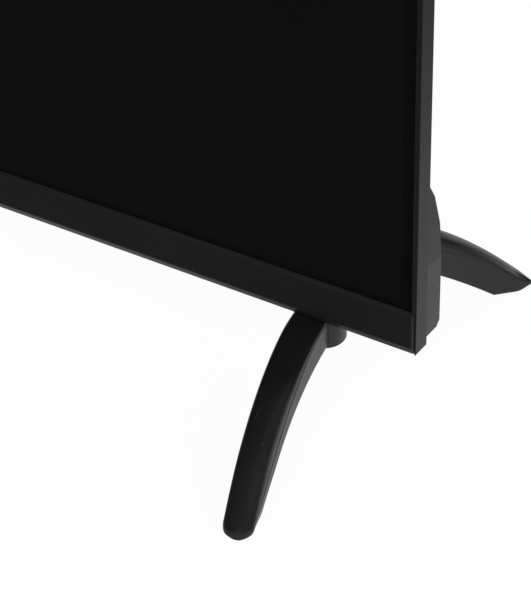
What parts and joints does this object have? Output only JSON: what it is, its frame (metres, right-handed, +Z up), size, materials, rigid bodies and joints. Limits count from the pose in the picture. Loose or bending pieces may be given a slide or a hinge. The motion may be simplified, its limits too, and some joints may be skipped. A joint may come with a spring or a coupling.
{
  "type": "flat screen tv",
  "caption": "Wide flat screen television with a thin dark frame, a bevelled chin bar, a bulged rear cover with plug recesses and keys, and splayed arch feet.",
  "frame": {"origin": "on the floor, midway across the width and midway between the outermost points of the toes", "axes": "+X across the screen to the viewer's right, +Y from the screen to the back, +Z up"},
  "size_m": [0.96, 0.2188, 0.6088],
  "materials": {
    "frame_black": "fine satin grain",
    "trim_black": "fine grain with a polished bevel",
    "screen_black": "smooth, glossy",
    "foam_black": "foam tape",
    "inner_black": "moulded",
    "clear_film": "finely ribbed film",
    "milky_plate": "milky",
    "white_sheet": "matt white",
    "zinc_sheet": "zinc plated, pressed",
    "strip_metal": "white lacquer on metal",
    "lens_clear": "clear",
    "board_green": "solder mask",
    "board_tan": "bare paper board",
    "flex_amber": "thin film",
    "ribbon_white": "flat ribbon",
    "chip_black": "moulded",
    "sink_metal": "extruded",
    "standoff_brass": "turned",
    "screw_zinc": "zinc plated",
    "screw_black": "black coated",
    "socket_metal": "tinned, folded",
    "socket_chrome": "nickel plated",
    "socket_black": "moulded",
    "plate_grey": "satin",
    "cover_black": "coarse moulded grain",
    "basket_black": "black",
    "rubber_black": "soft",
    "cone_paper": "pressed pulp",
    "window_dark": "dark, infrared clear",
    "lead_sleeve": "smooth sleeve",
    "foot_gloss": "polished, lightly scratched",
    "key_black": "fine grain"
  },
  "bodies": {
    "television": {"aerial_sockets": "socket_chrome", "audio_jacks": "socket_black", "backlight_tray": "zinc_sheet", "board_screws": "screw_zinc", "board_standoffs": "standoff_brass", "bottom_trim": "trim_black", "card_slot": "socket_metal", "control_leads": "lead_sleeve", "cover_screws": "screw_black", "diffuser_film": "clear_film", "diffuser_plate": "milky_plate", "flat_cables": "ribbon_white", "foot_brackets": "zinc_sheet", "foot_left": "foot_gloss", "foot_pads": "rubber_black", "foot_right": "foot_gloss", "foot_screws": "screw_zinc", "front_frame": "frame_black", "hdmi_sockets": "socket_metal", "heat_sink": "sink_metal", "ir_board": "board_green", "ir_window": "window_dark", "key_board": "board_green", "lcd_panel": "screen_black", "led_lenses": "lens_clear", "led_strips": "strip_metal", "main_board": "board_green", "main_board_chips": "chip_black", "mains_inlet": "socket_black", "middle_frame": "inner_black", "network_socket": "socket_black", "panel_flexes": "flex_amber", "panel_tape": "foam_black", "power_board": "board_tan", "power_board_parts": "chip_black", "power_heat_sinks": "sink_metal", "power_leads": "lead_sleeve", "prism_film": "clear_film", "rear_cover": "cover_black", "reflector_sheet": "white_sheet", "source_boards": "board_green", "speaker_box_left": "inner_black", "speaker_box_right": "inner_black", "speaker_frames": "basket_black", "speaker_grommets": "rubber_black", "speaker_leads": "lead_sleeve", "support_pins": "white_sheet", "terminal_plate": "plate_grey", "timing_board": "board_green", "tuner_can": "zinc_sheet", "usb_sockets": "socket_metal", "wall_posts": "zinc_sheet"},
    "power_button": {"key_power": "key_black"},
    "source_button": {"key_source": "key_black"},
    "volume_up_button": {"key_volume_up": "key_black"},
    "volume_down_button": {"key_volume_down": "key_black"},
    "channel_up_button": {"key_channel_up": "key_black"},
    "channel_down_button": {"key_channel_down": "key_black"},
    "left_cone": {"speaker_cone_left": "cone_paper"},
    "right_cone": {"speaker_cone_right": "cone_paper"}
  },
  "joints": [
    {"name": "power_press", "type": "slide", "parent": "television", "child": "power_button", "axis": [0, -1, 0], "range_m": [0, 0.0006], "stiffness_N_per_m": 800},
    {"name": "source_press", "type": "slide", "parent": "television", "child": "source_button", "axis": [0, -1, 0], "range_m": [0, 0.0006], "stiffness_N_per_m": 800},
    {"name": "volume_up_press", "type": "slide", "parent": "television", "child": "volume_up_button", "axis": [0, -1, 0], "range_m": [0, 0.0006], "stiffness_N_per_m": 800},
    {"name": "volume_down_press", "type": "slide", "parent": "television", "child": "volume_down_button", "axis": [0, -1, 0], "range_m": [0, 0.0006], "stiffness_N_per_m": 800},
    {"name": "channel_up_press", "type": "slide", "parent": "television", "child": "channel_up_button", "axis": [0, -1, 0], "range_m": [0, 0.0006], "stiffness_N_per_m": 800},
    {"name": "channel_down_press", "type": "slide", "parent": "television", "child": "channel_down_button", "axis": [0, -1, 0], "range_m": [0, 0.0006], "stiffness_N_per_m": 800},
    {"name": "left_cone_stroke", "type": "slide", "parent": "television", "child": "left_cone", "axis": [0, 1, 0], "range_m": [-0.0006, 0.0006], "stiffness_N_per_m": 1500},
    {"name": "right_cone_stroke", "type": "slide", "parent": "television", "child": "right_cone", "axis": [0, 1, 0], "range_m": [-0.0006, 0.0006], "stiffness_N_per_m": 1500}
  ]
}
